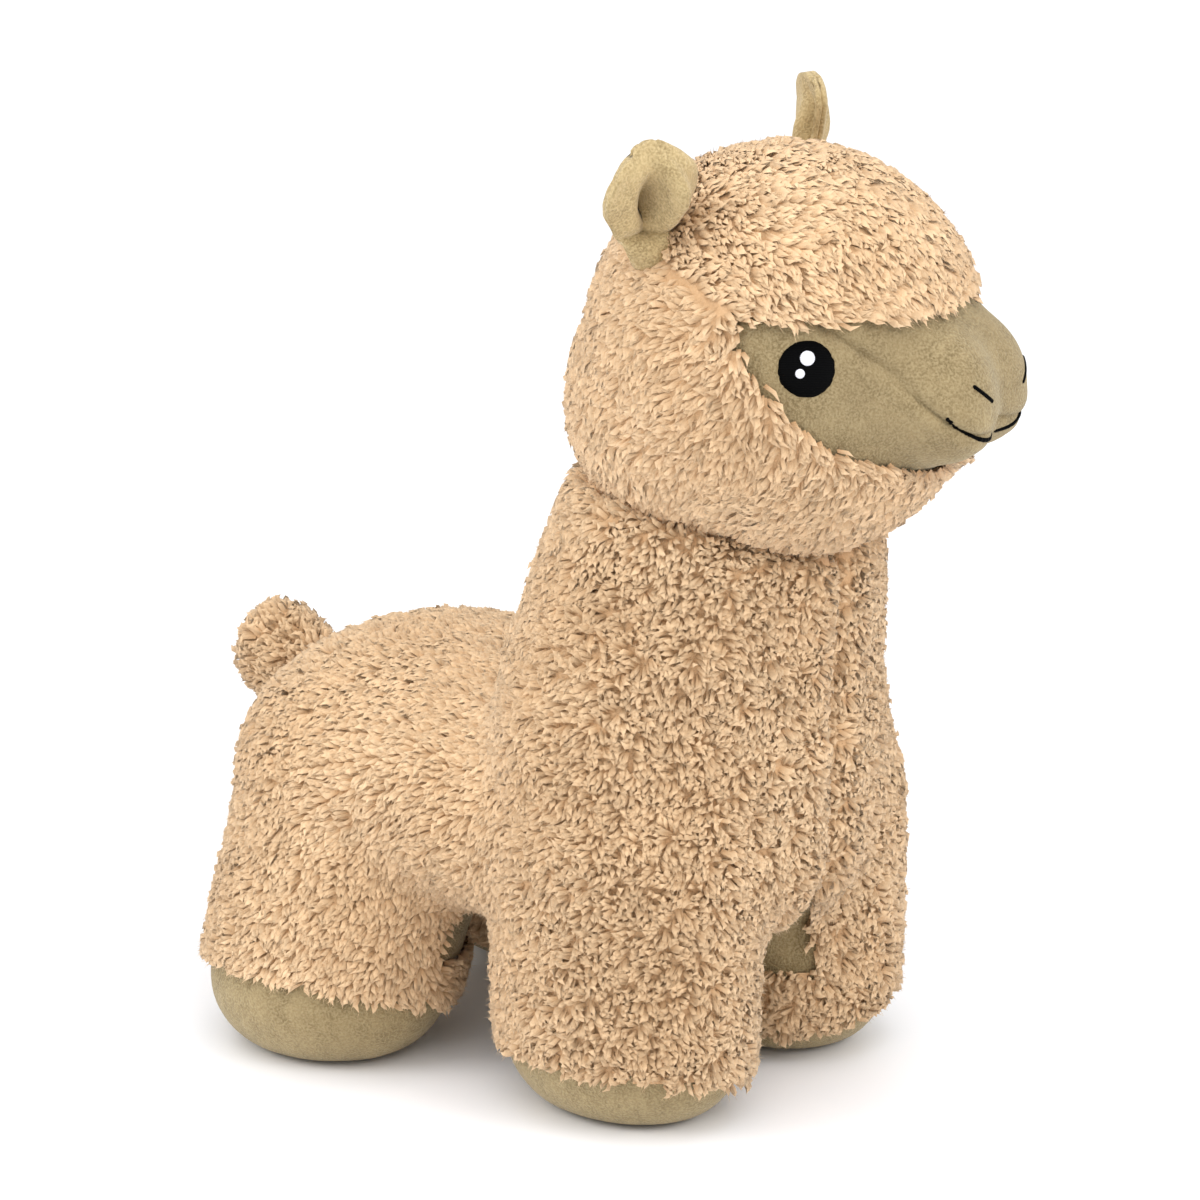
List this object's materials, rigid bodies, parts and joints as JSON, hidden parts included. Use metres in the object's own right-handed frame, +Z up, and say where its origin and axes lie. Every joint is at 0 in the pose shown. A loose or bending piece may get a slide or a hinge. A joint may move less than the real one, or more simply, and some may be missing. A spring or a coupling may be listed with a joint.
{
  "type": "plush alpaca",
  "caption": "Stuffed toy alpaca of curly fleece, standing on four stubby legs, with a long neck, a smooth velour face, upright ears and embroidered eyes.",
  "frame": {"origin": "on the floor, under the middle of the toy's bounding box", "axes": "+Z up, -Y ahead where the toy faces, +X to the toy's own left; the head is turned 10 degrees to its left"},
  "size_m": [0.1704, 0.2672, 0.2814],
  "materials": {
    "curly_fleece": "curly pile, matt",
    "olive_velour": "short brushed pile, soft sheen",
    "polyester_filling": "loose fibre, matt",
    "black_thread": "satin stitch",
    "white_thread": "satin stitch"
  },
  "bodies": {
    "root": {"body_filling": "polyester_filling", "body_side_left": "curly_fleece", "body_side_right": "curly_fleece", "belly_gusset": "olive_velour", "inner_leg_front_left": "curly_fleece", "inner_leg_front_right": "curly_fleece", "inner_leg_rear_left": "curly_fleece", "inner_leg_rear_right": "curly_fleece", "sole_front_left": "olive_velour", "sole_front_right": "olive_velour", "sole_rear_left": "olive_velour", "sole_rear_right": "olive_velour", "head_filling": "polyester_filling", "hood_left": "curly_fleece", "hood_right": "curly_fleece", "crown_forelock": "curly_fleece", "face_bridge": "olive_velour", "cheek_left": "olive_velour", "cheek_right": "olive_velour", "ear_back_left": "olive_velour", "ear_back_right": "olive_velour", "ear_lining_left": "olive_velour", "ear_lining_right": "olive_velour", "eye_left": "black_thread", "eye_right": "black_thread", "glint_large_left": "white_thread", "glint_large_right": "white_thread", "glint_small_left": "white_thread", "glint_small_right": "white_thread", "nostril_left": "black_thread", "nostril_right": "black_thread", "mouth_left": "black_thread", "mouth_right": "black_thread", "tail_filling": "polyester_filling", "tail_left": "curly_fleece", "tail_right": "curly_fleece"}
  },
  "joints": []
}
